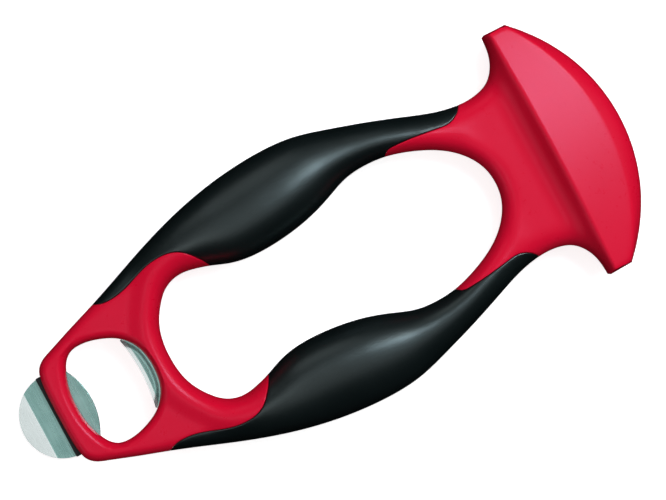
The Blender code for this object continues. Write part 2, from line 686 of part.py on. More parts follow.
def build():
    for obj in list(bpy.data.objects):
        bpy.data.objects.remove(obj)
    group, cutters = collection("hand_opener"), collection("cutters", cutting=True)
    paints = {name: material(name) for name in PALETTE}
    half = whole_half(cutters)
    made = {
        "body_red": [front_shell(half, group, cutters), rear_shell(half, group, cutters)],
        "grip_black": [grip(f"{hand}_grip_{face}", side, face == "front", group, cutters)
                       for hand, side in (("left", 1), ("right", -1)) for face in ("front", "rear")],
        "blade_steel": [pry_blade(group, cutters), cap_rest_lip(group, cutters)],
        "seal_black": [blade_seal(group, cutters)],
        "screw_steel": [],
    }
    for where, place in zip(("tip", "bridge", "neck", "head"), SCREW_PLACES):
        for hand, side in (("left", 1), ("right", -1)):
            made["screw_steel"].append(screw(f"{hand}_{where}_screw", place, side, group, cutters))
            made["body_red"].append(plug(f"{hand}_{where}_plug", place, side, group, cutters))
    stand = bpy.data.objects.new("stand", None)
    lowest = min(vertex.co.z for vertex in made["body_red"][1].data.vertices)
    stand.location = (-LENGTH / 2 * MM, 0, -lowest)
    group.objects.link(stand)
    for name, pieces in made.items():
        for piece in pieces:
            paint(piece, paints[name])
            piece.parent = stand
    for obj in cutters.objects:
        obj.hide_render = True
        obj.display_type = "WIRE"


build()
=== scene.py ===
"""The finished look of a hand opener: a two-half red moulded body with soft black grips, a stainless pry
blade through its tip, and a stainless lip across its cap hole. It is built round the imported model.

Sizes are in millimetres until they go into a mesh. Station s runs along the tool from the blade's tip,
y runs across it, and z is height above the parting plane where the two halves of the body meet.
"""

import math

import bmesh
import bpy
import numpy as np
from mathutils import Matrix, Vector
from mathutils.geometry import delaunay_2d_cdt


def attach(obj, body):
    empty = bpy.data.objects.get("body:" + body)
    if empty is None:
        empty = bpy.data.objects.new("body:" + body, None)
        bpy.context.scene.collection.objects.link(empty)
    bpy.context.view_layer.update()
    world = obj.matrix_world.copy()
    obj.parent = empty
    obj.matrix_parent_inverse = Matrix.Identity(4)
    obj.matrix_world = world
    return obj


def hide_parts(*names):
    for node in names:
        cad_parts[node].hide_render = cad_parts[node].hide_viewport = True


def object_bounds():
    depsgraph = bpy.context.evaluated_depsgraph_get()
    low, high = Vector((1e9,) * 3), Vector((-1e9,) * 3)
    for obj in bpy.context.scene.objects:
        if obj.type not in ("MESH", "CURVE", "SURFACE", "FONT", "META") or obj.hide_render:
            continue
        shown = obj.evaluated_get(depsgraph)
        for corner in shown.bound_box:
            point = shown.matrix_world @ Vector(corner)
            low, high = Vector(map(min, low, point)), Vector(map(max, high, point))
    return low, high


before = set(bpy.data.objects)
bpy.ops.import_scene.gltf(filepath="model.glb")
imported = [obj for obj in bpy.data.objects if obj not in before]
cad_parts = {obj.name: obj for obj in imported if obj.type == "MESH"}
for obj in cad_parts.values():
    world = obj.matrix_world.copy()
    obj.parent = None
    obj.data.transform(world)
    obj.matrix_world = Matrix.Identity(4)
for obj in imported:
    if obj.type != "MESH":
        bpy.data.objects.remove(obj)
cad_low, cad_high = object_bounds()

# ---------------------------------------------------------------- the red shells
# The body is two mirror-image shells of satin red plastic, moulded with a fine spark-eroded grain and
# screwed together on a flat parting plane. Each is a flat ring round the cap hole, two arm cores that
# run under the grips, a neck, and a T head with a sloping palm face and a rolled-off outer rim.

MM = 0.001
MID_Z = (cad_low.z + cad_high.z) / 2
LENGTH = (cad_high.x - cad_low.x) / MM

OUTLINE_STEP = 0.7  # chord along an outline
GRID_STEP = 0.95  # mesh points inside an outline
RIM_DEPTHS = (0.07, 0.22, 0.48, 0.85, 1.35, 1.95, 2.7, 3.6)  # rows of points that follow a rounded rim
SEAM_DEPTHS = (0.03, 0.12, 0.26, 0.45)  # rows along the rounded edge of a joint between red and black
SEAM_ROUNDING = 0.45
SEAM_GAP = 0.012  # from the middle of the joint to either side
PARTING_GAP = 0.06

# Half outlines (s, y), from the axis outwards or back to it.
OUTER = [(12.7, 0), (12.8, 7), (13.4, 13.5), (14.3, 16.2), (16.4, 18.4), (20, 20), (28, 22.9), (39.6, 26.9),
         (48, 30), (60, 34.6), (72, 38.7), (84, 41.9), (96, 44), (110, 45), (122, 44.2), (134, 41), (146, 37.1),
         (158, 32.7), (167, 29.5), (175, 27.9), (182, 28.2), (186.5, 30), (190, 34), (191.8, 38.5),
         (192.4, 43.7)]
OPENING = [(53.8, 0), (54.3, 6), (55.8, 11), (59, 16.2), (63, 20.2), (67, 21.9), (71, 22.1), (75, 21.3),
           (79.5, 19.9), (85, 17.8), (91, 16.5), (97, 16.2), (104, 16.6), (111, 17.6), (118, 19.3), (125, 21.8),
           (131, 24), (138, 24.9), (146, 24.3), (155, 21.6), (161, 18.8), (166, 15.4), (170, 11.2), (173, 5.5),
           (173.8, 0)]
CAP_HOLE = [(19.6, 0), (20.1, 6), (21.4, 10.5), (23.6, 14.8), (26, 16.7), (29.3, 17.3), (33, 16.9), (38, 15.3),
            (42.2, 12.9), (44.6, 10.4), (46.5, 7), (47.4, 3), (47.6, 0)]
SEAM_TIP = [(39.6, 26.9), (42.5, 25.7), (46, 25.4), (50, 25.9), (56, 27.8), (62, 29.6), (66, 30), (69.5, 29.7),
            (73, 28.3), (76, 25.5), (78.2, 22.5), (79.5, 19.9)]
SEAM_HEAD = [(175, 27.9), (173.8, 26.3), (172, 24.9), (169.3, 23.9), (165.5, 24.1), (160, 24.9), (155, 25.5),
             (150.5, 25.8), (147.5, 25.5), (146, 24.3)]

# Half thickness along the tool, and how far in from each rim the surface keeps rising.
ARM_HEIGHT = [(0, 4.8), (36, 4.8), (56, 6.1), (76, 9.4), (88, 10.6), (103, 11.1), (112, 10.8), (120, 9.9),
              (128, 8.7), (137, 7.9), (150, 7.6), (163, 7.4), (175, 6.4), (220, 6.4)]
OUTER_ROUNDING = [(0, 2.4), (36, 2.6), (50, 4.5), (66, 9), (80, 18), (150, 18), (165, 9), (176, 6), (220, 6)]
OPENING_ROUNDING = [(0, 3.4), (53, 3.6), (60, 4.9), (68, 7), (80, 14), (150, 14), (163, 7.5), (174, 4.5),
                    (220, 4.5)]
HOLE_ROUNDING = 2.0
RIM_FADE = [(0, 3), (58, 3), (84, 2), (150, 2), (168, 3), (220, 3)]  # 2 under the grips, 3 on the red
OUTER_SOFTENING, OPENING_SOFTENING = 2.0, 1.5  # where a rounding runs out into the arm's crest
ARM_CREST = 0.57  # where an arm is highest, as a share of its width from the outside
BEAD_HEIGHT = [(0, 7.1), (54, 7.1), (62, 7.8), (76, 9.4), (220, 6.8)]  # beside the big opening
BEAD_FALL = 7.5  # how far from the bead's top it is level with the plate again
BEAD_END = 95
EDGE_LAND = 0.7  # half height of the upright land at a rim

HEAD_HALF_WIDTH = 43.7
HEAD_CREST = 194.3  # station of the head's straight upper edge
HEAD_CREST_HEIGHT = 13.2
HEAD_CREST_ROUNDING = 2.4
HEAD_FACET_SLOPE = 0.12
HEAD_CROWN_RADIUS = 500.0
HEAD_RIM_HEIGHT = 4.0
HEAD_RIM_STRAIGHT = 0.45  # share of the rim's fall that is a straight slope; the rest rolls over
HEAD_CORNER = 1.8
HEAD_CORNER_START = 4  # how soon past the neck the head's corner is fully rounded
NECK_FILLET = 10.5
NECK_RISE = 0.3  # how far past the crest's height the neck's sweep aims
OUTER_ARC_RADIUS = 59.4
OUTER_ARC_CENTRE = LENGTH - OUTER_ARC_RADIUS
RIDGE_ARC_RADIUS = 75.4
RIDGE_ARC_TOP = 213.3
RIDGE_ARC_CENTRE = RIDGE_ARC_TOP - RIDGE_ARC_RADIUS
RIDGE_SOFTNESS = 0.4

BODY_FLOOR = -1  # a shell is built down to here, then cut off at the parting gap
CORE_FLOOR = -1.5
CORE_GRID = 1.6
CORE_INSET = 2.5
CORE_CLEARANCE = 0.4
CORE_ENDS = (67, 21.9), (161, 18.8)  # points of the opening between which a core shows through the red


def spans_through(points, step):
    """A curve with even bending through the points, as one list of samples for each span, without its end."""
    p = np.array(points, float)
    count = len(p)
    chord = np.linalg.norm(np.diff(p, axis=0), axis=1)
    matrix, right = np.zeros((count, count)), np.zeros_like(p)
    for i in range(1, count - 1):
        before, after = chord[i - 1], chord[i]
        matrix[i, i - 1:i + 2] = after, 2 * (before + after), before
        right[i] = 3 * (after * (p[i] - p[i - 1]) / before + before * (p[i + 1] - p[i]) / after)
    for end, beside, sign in ((0, 1, 1), (count - 1, count - 2, -1)):
        if p[end, 1] == 0:
            matrix[end, end], right[end] = 1, (0, sign)
        else:
            matrix[end, [end, beside]] = 2, 1
            right[end] = 3 * sign * (p[beside] - p[end]) / chord[min(end, beside)]
    tangent = np.linalg.solve(matrix, right)
    spans = []
    for i in range(count - 1):
        pieces = max(1, round(float(chord[i]) / step))
        t = (np.arange(pieces) / pieces)[:, None]
        spans.append((2 * t**3 - 3 * t**2 + 1) * p[i] + (t**3 - 2 * t**2 + t) * chord[i] * tangent[i]
                     + (3 * t**2 - 2 * t**3) * p[i + 1] + (t**3 - t**2) * chord[i] * tangent[i + 1])
    return spans


def half_curve(points, first=0, last=None, step=OUTLINE_STEP):
    """Samples of a half outline between two of its points, both ends included."""
    last = len(points) - 1 if last is None else last
    return np.vstack(spans_through(points, step)[first:last] + [np.array([points[last]], float)])


def mirrored(path):
    """The same half path on the other side of the axis, run the other way."""
    return path[::-1] * (1, -1)


def closed_over_axis(path):
    """A half path from the axis to the axis, joined to its mirror image, without repeated points."""
    return np.vstack([path[:-1], mirrored(path)[:-1]])


def shifted(path, distance):
    """The path moved sideways, to its left when distance is positive."""
    along_path = np.gradient(path, axis=0)
    along_path /= np.linalg.norm(along_path, axis=1)[:, None]
    return path + distance * np.stack([-along_path[:, 1], along_path[:, 0]], axis=1)


def trimmed(path, first=SEAM_GAP, last=SEAM_GAP):
    """The path with its two ends drawn in along it."""
    path = path.copy()
    path[0] += (path[1] - path[0]) / np.linalg.norm(path[1] - path[0]) * first
    path[-1] += (path[-2] - path[-1]) / np.linalg.norm(path[-2] - path[-1]) * last
    return path


def head_arc(centre, radius, half_width):
    """An arc of the head from y = half_width to the axis."""
    top = math.asin(half_width / radius)
    angles = np.linspace(top, 0, round(top * radius / OUTLINE_STEP))
    return np.stack([centre + radius * np.cos(angles), radius * np.sin(angles)], axis=1)


outer_tip = half_curve(OUTER, 0, OUTER.index(SEAM_TIP[0]))
outer_arm = half_curve(OUTER, OUTER.index(SEAM_TIP[0]), OUTER.index(SEAM_HEAD[0]))
outer_head = np.vstack([half_curve(OUTER, OUTER.index(SEAM_HEAD[0])),
                        head_arc(OUTER_ARC_CENTRE, OUTER_ARC_RADIUS, HEAD_HALF_WIDTH)])
opening_tip = half_curve(OPENING, 0, OPENING.index(SEAM_TIP[-1]))
opening_arm = half_curve(OPENING, OPENING.index(SEAM_TIP[-1]), OPENING.index(SEAM_HEAD[-1]))
opening_head = half_curve(OPENING, OPENING.index(SEAM_HEAD[-1]))
seam_tip, seam_head = half_curve(SEAM_TIP), half_curve(SEAM_HEAD)
outer_loop = closed_over_axis(np.vstack([outer_tip[:-1], outer_arm[:-1], outer_head]))
opening_loop = closed_over_axis(np.vstack([opening_tip[:-1], opening_arm[:-1], opening_head]))
hole_loop = closed_over_axis(half_curve(CAP_HOLE))


def distance_to(path, points, closed=True):
    """How far each point is from a polyline."""
    start, end = (path, np.roll(path, -1, axis=0)) if closed else (path[:-1], path[1:])
    edge = end - start
    square = np.maximum((edge * edge).sum(1), 1e-12)
    found = []
    for few in np.array_split(points, len(points) // 800 + 1):
        to_point = few[:, None, :] - start[None, :, :]
        share = np.clip((to_point * edge).sum(2) / square, 0, 1)
        found.append(np.sqrt(((to_point - share[:, :, None] * edge) ** 2).sum(2)).min(1))
    return np.concatenate(found)


def inside(loops, points):
    """Which points lie inside the first loop and outside the others, by counting crossings."""
    crossings = np.zeros(len(points), int)
    for loop in loops:
        for (ax, ay), (bx, by) in zip(loop, np.roll(loop, -1, axis=0)):
            if ay != by:
                spans = (ay > points[:, 1]) != (by > points[:, 1])
                crossings += spans & (points[:, 0] < ax + (points[:, 1] - ay) / (by - ay) * (bx - ax))
    return crossings % 2 == 1


def along(table, s, soften=11):
    """A softened run of values along the tool."""
    stations = np.arange(-40, LENGTH + 40, 0.5)
    values = np.interp(stations, *zip(*table))
    window = np.hanning(2 * soften + 1)
    return np.interp(s, stations, np.convolve(values, window / window.sum(), "same"))


def soft_min(a, b, reach):
    """The lower of the two, with a smooth change where they come within reach of each other."""
    share = np.clip(0.5 + 0.5 * (b - a) / reach, 0, 1)
    return b + (a - b) * share - reach * share * (1 - share)


def rise(distance, width, fade=3.0):
    """A rounded rim: 0 at the edge, 1 further in. A fade of 2 is a plain ellipse; 3 runs out more gently."""
    t = np.clip(distance / (width * fade / 2), 0, 1)
    return np.sqrt(1 - (1 - t) ** fade)


def ring_height(s, to_outer, to_opening, to_hole):
    """Half thickness of the tip ring, the arms and the neck."""
    beside = to_outer + to_opening
    outer_round = soft_min(along(OUTER_ROUNDING, s), ARM_CREST * beside, OUTER_SOFTENING)
    opening_round = soft_min(along(OPENING_ROUNDING, s), (1 - ARM_CREST) * beside, OPENING_SOFTENING)
    base = along(ARM_HEIGHT, s)
    fall = np.clip((to_opening - opening_round) / BEAD_FALL, 0, 1)
    bead = np.maximum(along(BEAD_HEIGHT, s) - base, 0) * np.cos(math.pi / 2 * fall) ** 2 * (s < BEAD_END)
    fade = along(RIM_FADE, s)
    height = (base + bead) * rise(to_opening, opening_round, fade) * rise(to_outer, outer_round, fade)
    return height * rise(to_hole, HOLE_ROUNDING)


def head_top(s, y):
    """The T head's palm face and, beyond its curved ridge, the rim that rolls off to the outer arc."""
    facet = HEAD_CREST_HEIGHT - HEAD_FACET_SLOPE * (s - HEAD_CREST) - y**2 / (2 * HEAD_CROWN_RADIUS)
    beyond = np.hypot(s - RIDGE_ARC_CENTRE, y) - RIDGE_ARC_RADIUS
    beyond = (beyond + np.hypot(beyond, RIDGE_SOFTNESS)) / 2
    before = np.maximum(OUTER_ARC_RADIUS - np.hypot(s - OUTER_ARC_CENTRE, y), 0)
    t = beyond / (beyond + before + 1e-6)
    roll = HEAD_RIM_STRAIGHT * t + (1 - HEAD_RIM_STRAIGHT) * (1 - np.sqrt(1 - t * t))
    return facet - (facet - HEAD_RIM_HEIGHT) * roll


def neck_sweep(s):
    """How much of the head's height the neck has gained: 0 on the neck's flat, 1 at the crest, then past it."""
    q = np.maximum(1 - (HEAD_CREST - s) / NECK_FILLET, 0)
    return np.minimum(q, 1) ** 3 + 3 * np.maximum(q - 1, 0)


def body_height(points):
    """Half thickness of the finished body at points in plan."""
    s, y = points[:, 0], points[:, 1]
    to_outer, to_opening, to_hole = (distance_to(rim, points) for rim in (outer_loop, opening_loop, hole_loop))
    plate = ring_height(s, to_outer, to_opening, to_hole)
    sweep = plate + (HEAD_CREST_HEIGHT + NECK_RISE - plate) * neck_sweep(s)
    head = soft_min(head_top(s, y), sweep, HEAD_CREST_ROUNDING)
    corner = HEAD_CORNER - np.clip(to_outer, 0, HEAD_CORNER)
    rounded = np.clip(neck_sweep(s) * HEAD_CORNER_START, 0, 1)
    head -= (HEAD_CORNER - np.sqrt(HEAD_CORNER**2 - corner**2)) * rounded
    height = np.where(s > HEAD_CREST - NECK_FILLET, head, plate)
    return np.sqrt(np.maximum(height, 0) ** 2 + EDGE_LAND**2)


def core_height(points):
    """Half thickness of an arm's core, drawn in under the finished body."""
    return np.maximum(body_height(points) - CORE_INSET, EDGE_LAND)


def spaced(points, spacing, kept):
    """The points that keep their distance from those kept and from each other, added to them."""
    cells = {}
    for p in kept:
        cells.setdefault((p[0] // spacing, p[1] // spacing), []).append(p)
    added = []
    for p in points:
        column, row = p[0] // spacing, p[1] // spacing
        near = [q for i in (-1, 0, 1) for j in (-1, 0, 1) for q in cells.get((column + i, row + j), ())]
        if all((p[0] - q[0]) ** 2 + (p[1] - q[1]) ** 2 > spacing**2 for q in near):
            cells.setdefault((column, row), []).append(p)
            added.append(p)
    return np.vstack([kept] + added) if added else kept


LINE_SPACING, WIDEST_SPACING = 0.3, 0.6  # between mesh points, as shares of the grid's step
GRID_ROWS = 0.87  # between the grid's rows, as a share of its step
RIM_SPACING = 0.55  # along a rim's row, as a share of its depth
SEAM_SPACING = 0.05
BORDER_SHARE, BORDER_SPACE = 0.8, 0.016  # between a mesh point and the border: a share of spacing, or this


def plan_points(loops, seams, lines, grid_step):
    """Points to mesh inside a region: rows along its rims and seams, feature lines and a staggered grid."""
    border = np.vstack(loops)
    groups = [(line, LINE_SPACING * grid_step) for line in lines]
    for loop in (outer_loop, opening_loop, hole_loop):
        ring = np.vstack([loop[-1:], loop, loop[:1]])
        for depth in RIM_DEPTHS:
            groups += [(shifted(ring, side * depth)[1:-1], RIM_SPACING * depth) for side in (1, -1)]
    for seam in seams:
        for depth in SEAM_DEPTHS:
            groups += [(shifted(seam, side * (SEAM_GAP + depth)), SEAM_SPACING) for side in (1, -1)]
    low, high = border.min(0), border.max(0)
    rows = []
    for i, y in enumerate(np.arange(low[1], high[1], grid_step * GRID_ROWS)):
        stations = np.arange(low[0] + i % 2 * grid_step / 2, high[0], grid_step)
        rows.append(np.stack(np.broadcast_arrays(stations, y), axis=1))
    groups.append((np.vstack(rows), WIDEST_SPACING * grid_step))
    found = border
    for points, spacing in groups:
        points = points[inside(loops, points)]
        if len(points):
            spacing = min(spacing, WIDEST_SPACING * grid_step)
            to_border = np.min([distance_to(loop, points) for loop in loops], axis=0)
            clear = to_border > min(spacing * BORDER_SHARE, BORDER_SPACE)
            found = spaced(points[clear], spacing, found)
    return found[len(border):]


def triangles_over(points, loops):
    """A triangle mesh over the points, kept inside the first loop and outside the others."""
    edges, start = [], 0
    for loop in loops:
        edges += [(start + i, start + (i + 1) % len(loop)) for i in range(len(loop))]
        start += len(loop)
    found, _, triangles, *_ = delaunay_2d_cdt([Vector(p) for p in points], edges, [], 0, 1e-6, False)
    middles = points[np.array(triangles)].mean(1)
    return [tuple(t) for t, keep in zip(triangles, inside(loops, middles)) if keep]


def slab(name, loops, top, floor, seams=(), lines=(), grid_step=GRID_STEP):
    """A closed solid over a plan region: flat at the floor, its top lifted to the height rule and rounded
    over along the seams. It is built in millimetres over the parting plane."""
    border = np.vstack(loops)
    plan = np.vstack([border, plan_points(loops, seams, lines, grid_step)])
    heights = top(plan)
    for seam in seams:
        depth = np.clip(distance_to(seam, plan, closed=False) - SEAM_GAP, 0, SEAM_ROUNDING)
        heights = heights - SEAM_ROUNDING + np.sqrt(SEAM_ROUNDING**2 - (SEAM_ROUNDING - depth) ** 2)
    upper, under = triangles_over(plan, loops), triangles_over(border, loops)
    count = len(border)
    faces = [[i + count for i in t] for t in upper] + [t[::-1] for t in under]
    sides = {(t[i], t[(i + 1) % 3]) for t in upper for i in range(3)}
    faces += [(a, b, b + count, a + count) for a, b in sides if (b, a) not in sides]
    vertices = np.vstack([np.column_stack([border, np.full(count, floor)]), np.column_stack([plan, heights])])
    mesh = bpy.data.meshes.new(name)
    mesh.from_pydata(vertices.tolist(), [], faces)
    made = bpy.data.objects.new(name, mesh)
    bpy.context.scene.collection.objects.link(made)
    return made


def pick(obj):
    """Make an object the only one selected, and the active one."""
    bpy.ops.object.select_all(action="DESELECT")
    obj.select_set(True)
    bpy.context.view_layer.objects.active = obj
    return obj


def cut(target, *others, operation="DIFFERENCE"):
    """Take the other shapes out of the target, or join them to it, and remove them."""
    pick(target)
    for other in others:
        modifier = target.modifiers.new(other.name, "BOOLEAN")
        modifier.operation = operation
        modifier.object = other
        bpy.ops.object.modifier_apply(modifier=modifier.name)
    for other in others:
        bpy.data.objects.remove(other)
    return target


def copy_of(obj, name, turned_over=False):
    """The same shape again, or the same on the other side of the parting plane."""
    copy = bpy.data.objects.new(name, obj.data.copy())
    bpy.context.scene.collection.objects.link(copy)
    if turned_over:
        copy.data.transform(Matrix.Diagonal((1, 1, -1, 1)))
        copy.data.flip_normals()
    return copy


def block(low, high, name="block"):
    """A box between two corners."""
    low, high = Vector(low), Vector(high)
    bpy.ops.mesh.primitive_cube_add(size=1, location=(low + high) / 2, scale=high - low)
    bpy.ops.object.transform_apply(location=True, rotation=True, scale=True)
    bpy.context.object.name = name
    return bpy.context.object


def rod(s, y, low, high, radius, sides=48, name="rod"):
    """An upright cylinder between two heights."""
    bpy.ops.mesh.primitive_cylinder_add(vertices=sides, radius=radius, depth=high - low,
                                        location=(s, y, (low + high) / 2))
    bpy.ops.object.transform_apply(location=True, rotation=True, scale=True)
    bpy.context.object.name = name
    return bpy.context.object


SLIVER = 0.0008  # width of the slivers that a cut may leave, which are closed up


def seated(piece, name, made_of, smooth_angle=32):
    """Set a finished piece among the others. Its slivers are closed up, its place goes into its mesh, and it
    stands for its CAD solid."""
    piece.name = piece.data.name = name + "_skin"
    pick(piece)
    bpy.ops.object.mode_set(mode="EDIT")
    bpy.ops.mesh.select_all(action="SELECT")
    bpy.ops.mesh.remove_doubles(threshold=SLIVER)
    bpy.ops.mesh.dissolve_degenerate(threshold=SLIVER)
    bpy.ops.object.mode_set(mode="OBJECT")
    piece.data.transform(Matrix.Translation((-LENGTH / 2 * MM, 0, MID_Z)) @ Matrix.Scale(MM, 4))
    bpy.ops.object.shade_smooth_by_angle(angle=math.radians(smooth_angle))
    piece.data.materials.clear()
    piece.data.materials.append(made_of)
    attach(piece, "root")
    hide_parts(name)
    return piece


def arm_core(side):
    """The red core that runs through one arm, drawn in from both sides and run on under the red at its ends."""
    inner = half_curve(OPENING, *(OPENING.index(end) for end in CORE_ENDS))
    region = np.vstack([shifted(outer_arm, -CORE_INSET), shifted(inner, CORE_INSET)[::-1]])
    region = region if side > 0 else mirrored(region)
    return slab("arm_core", [region], core_height, CORE_FLOOR, grid_step=CORE_GRID)


CREST_LINES = np.arange(-4.0, 3.2, 0.4)  # feature lines before and past the crest
RIDGE_LINES = (0, -0.35, 0.35, -0.75, 0.75, 1.3)  # and inside and outside the ridge
OUTER_LINES = (0.1, 0.35, 0.7, 1.1)  # and inside the head's outer arc
LINE_STEP = 0.8
LINE_MARGIN = 1  # between a line's ends and the head's sides


def red_half():
    """One red half without its screw holes. Feature lines keep its mesh crisp along the head's edges."""
    tip_edge = shifted(seam_tip, -SEAM_GAP)[1:-1]
    tip_half = [trimmed(outer_tip, first=0), tip_edge, trimmed(opening_tip, first=0)[::-1]]
    head_edge = shifted(seam_head, SEAM_GAP)[1:-1]
    head_half = [trimmed(opening_head, last=0)[::-1], head_edge[::-1], trimmed(outer_head, last=0)]
    tip_loop, head_loop = (closed_over_axis(np.vstack(parts)) for parts in (tip_half, head_half))
    across = np.arange(-HEAD_HALF_WIDTH + LINE_MARGIN, HEAD_HALF_WIDTH, LINE_STEP)
    lines = [np.stack([np.full_like(across, HEAD_CREST + beyond), across], axis=1) for beyond in CREST_LINES]
    arcs = [(RIDGE_ARC_CENTRE, RIDGE_ARC_RADIUS + beyond) for beyond in RIDGE_LINES]
    arcs += [(OUTER_ARC_CENTRE, OUTER_ARC_RADIUS - depth) for depth in OUTER_LINES]
    arcs = [head_arc(centre, radius, HEAD_HALF_WIDTH - LINE_MARGIN) for centre, radius in arcs]
    lines += [closed_over_axis(arc) for arc in arcs]
    tip_seams, head_seams = (seam_tip, mirrored(seam_tip)), (seam_head, mirrored(seam_head))
    body = slab("red_half", [tip_loop, hole_loop], body_height, BODY_FLOOR, tip_seams)
    head = slab("head", [head_loop], body_height, BODY_FLOOR, head_seams, lines)
    return cut(body, head, arm_core(1), arm_core(-1), operation="UNION")


class Value:
    """One output socket of a material. Its operators add Math nodes."""

    def __init__(self, finish, socket):
        self.finish, self.socket = finish, socket

    def reckoned(self, operation, *others):
        """The result of one Math node on this value and the others."""
        values = dict(enumerate((self, *others)))
        return self.finish.node("ShaderNodeMath", {"operation": operation}, values)

    def __add__(self, other):
        return self.reckoned("ADD", other)

    def __sub__(self, other):
        return self.reckoned("SUBTRACT", other)

    def __rsub__(self, other):
        return self.reckoned("MULTIPLY", -1.0).reckoned("ADD", other)

    def __mul__(self, other):
        return self.reckoned("MULTIPLY", other)

    def clipped(self):
        return self.reckoned("MAXIMUM", 0.0).reckoned("MINIMUM", 1.0)

    __radd__, __rmul__ = __add__, __mul__


class Finish:
    """A material under its own name, built up node by node."""

    def __init__(self, name, **constants):
        self.material = bpy.data.materials.new(name)
        self.material.use_nodes = True
        self.tree = self.material.node_tree
        self.shader = self.tree.nodes["Principled BSDF"]
        for socket, value in constants.items():
            self.shader.inputs[socket.replace("_", " ")].default_value = value

    def node(self, kind, settings=None, values=None, output=0):
        """Add one node: its settings first, then its sockets' values or links. Gives one of its outputs."""
        node = self.tree.nodes.new(kind)
        for name, setting in (settings or {}).items():
            setattr(node, name, setting)
        for socket, value in (values or {}).items():
            self.feed(node.inputs[socket], value)
        return Value(self, node.outputs[output])

    def feed(self, socket, value):
        if isinstance(value, Value):
            self.tree.links.new(value.socket, socket)
        else:
            socket.default_value = value

    def places(self, stretch=(1, 1, 1), centre=(0, 0, 0), turn=(0, 0, 0)):
        """The surface's own coordinates in millimetres, stretched and turned about a centre."""
        own = self.node("ShaderNodeTexCoord", output="Object")
        moved = self.node("ShaderNodeVectorMath", {"operation": "SUBTRACT"}, {0: own, 1: centre})
        scale = [value / MM for value in stretch]
        return self.node("ShaderNodeMapping", values={"Vector": moved, "Scale": scale, "Rotation": turn})

    def noise(self, places, size, detail=2.0, roughness=0.5):
        """Soft noise between 0 and 1, with features of about the given size in millimetres."""
        return self.node("ShaderNodeTexNoise", {"noise_dimensions": "3D"},
                         {"Vector": places, "Scale": 1 / size, "Detail": detail, "Roughness": roughness})

    def blend(self, share, first, second):
        """A colour between two colours."""
        return self.node("ShaderNodeMix", {"data_type": "RGBA"}, {0: share, 6: first, 7: second}, output=2)

    def bump(self, height, depth):
        """Raise the surface by a height pattern of the given depth in millimetres."""
        return self.node("ShaderNodeBump", values={"Height": height, "Distance": depth * MM, "Strength": 1.0})

    def show(self, **sockets):
        """Feed the shader's varying sockets and give the finished material."""
        for socket, value in sockets.items():
            self.feed(self.shader.inputs[socket.replace("_", " ")], value)
        return self.material


def rgb(red, green, blue):
    return (red, green, blue, 1.0)


RED_DEEP = (0.65, 0.002, 0.025)
RED_BRIGHT = (0.73, 0.004, 0.033)
RED_RUBBED = (0.76, 0.02, 0.05)


def red_plastic():
    """Satin red plastic with fine eroded grain, a slightly uneven colour and a few handling marks."""
    finish = Finish("red_plastic", IOR=1.5, Specular_IOR_Level=0.3, Specular_Tint=(0.9, 0.68, 1.0, 1))
    places = finish.places()
    cloud = finish.noise(places, 26, 3)
    grain = finish.noise(places, 0.42, 2, 0.6)
    mottle = finish.noise(places, 2.2, 3, 0.6)
    marks = finish.noise(finish.places((1, 0.12, 1), turn=(0, 0, 0.5)), 1.1, 4, 0.7)
    rubbed = ((marks - 0.62) * 6).clipped()
    colour = finish.blend(cloud, rgb(*RED_DEEP), rgb(*RED_BRIGHT))
    colour = finish.blend(rubbed * 0.12, colour, rgb(*RED_RUBBED))
    rough = 0.21 + 0.05 * grain + 0.08 * mottle + 0.03 * cloud + 0.05 * rubbed
    return finish.show(Base_Color=colour, Roughness=rough, Normal=finish.bump(grain, 0.012))


red = red_plastic()

# What the shells make room for: the blade, the lip, the seal and the screws. The seal's black is a painted
# shadow.
BLADE_THICKNESS = 1.5
BLADE_TIP_RADIUS = 14.2
BLADE_STRETCH = 12
BLADE_LIP_STATION = 25.0
BLADE_LIP_RADIUS = 23.5
LIP_THICKNESS = 1.2
LIP_EDGE_STATION = 43.3
LIP_EDGE_RADIUS = 56.0
LIP_ROOT_STATION = 50.8
LIP_ROOT_RADIUS = 21.8
LIP_HALF_LENGTH = 12.3
LIP_FLARE = 2.2  # how much longer the lip is at its root than at its free edge
POCKET_GAP = 0.12
SEAL_FRONT, SEAL_BACK, SEAL_HALF_LENGTH, SEAL_HALF_HEIGHT = 12.0, 14.0, 14.32, 2.1

# (s, y, bore radius, depth of the screw's seat behind the parting plane, screw length under its head)
SCREW_PLACES = {"tip": (17.0, 9.0, 2.1, 2.1, 5.4), "bridge": (51.5, 21.6, 2.9, 2.6, 7.0),
                "neck": (183.0, 13.5, 2.9, 3.2, 8.0), "head": (203.5, 24.0, 2.9, 4.0, 12.0)}
SHANK_RADIUS = 1.1
SHANK_GAP = 0.1
HOLE_DEPTH_SPARE = 0.4  # how much deeper than its screw a hole goes


def blade_blank(gap, half):
    """A stadium-shaped blank: a disc with its back half moved away, cut off by the arc behind the blade."""
    radius = BLADE_TIP_RADIUS + gap
    blank = rod(BLADE_TIP_RADIUS, 0, -half, half, radius, 192, "blade_blank")
    for vertex in blank.data.vertices:
        if vertex.co.x > BLADE_TIP_RADIUS + 0.01:
            vertex.co.x += BLADE_STRETCH
    arc = rod(BLADE_LIP_STATION - BLADE_LIP_RADIUS, 0, -9, 9, BLADE_LIP_RADIUS + gap, 256, "blade_arc")
    return cut(blank, arc, operation="INTERSECT")


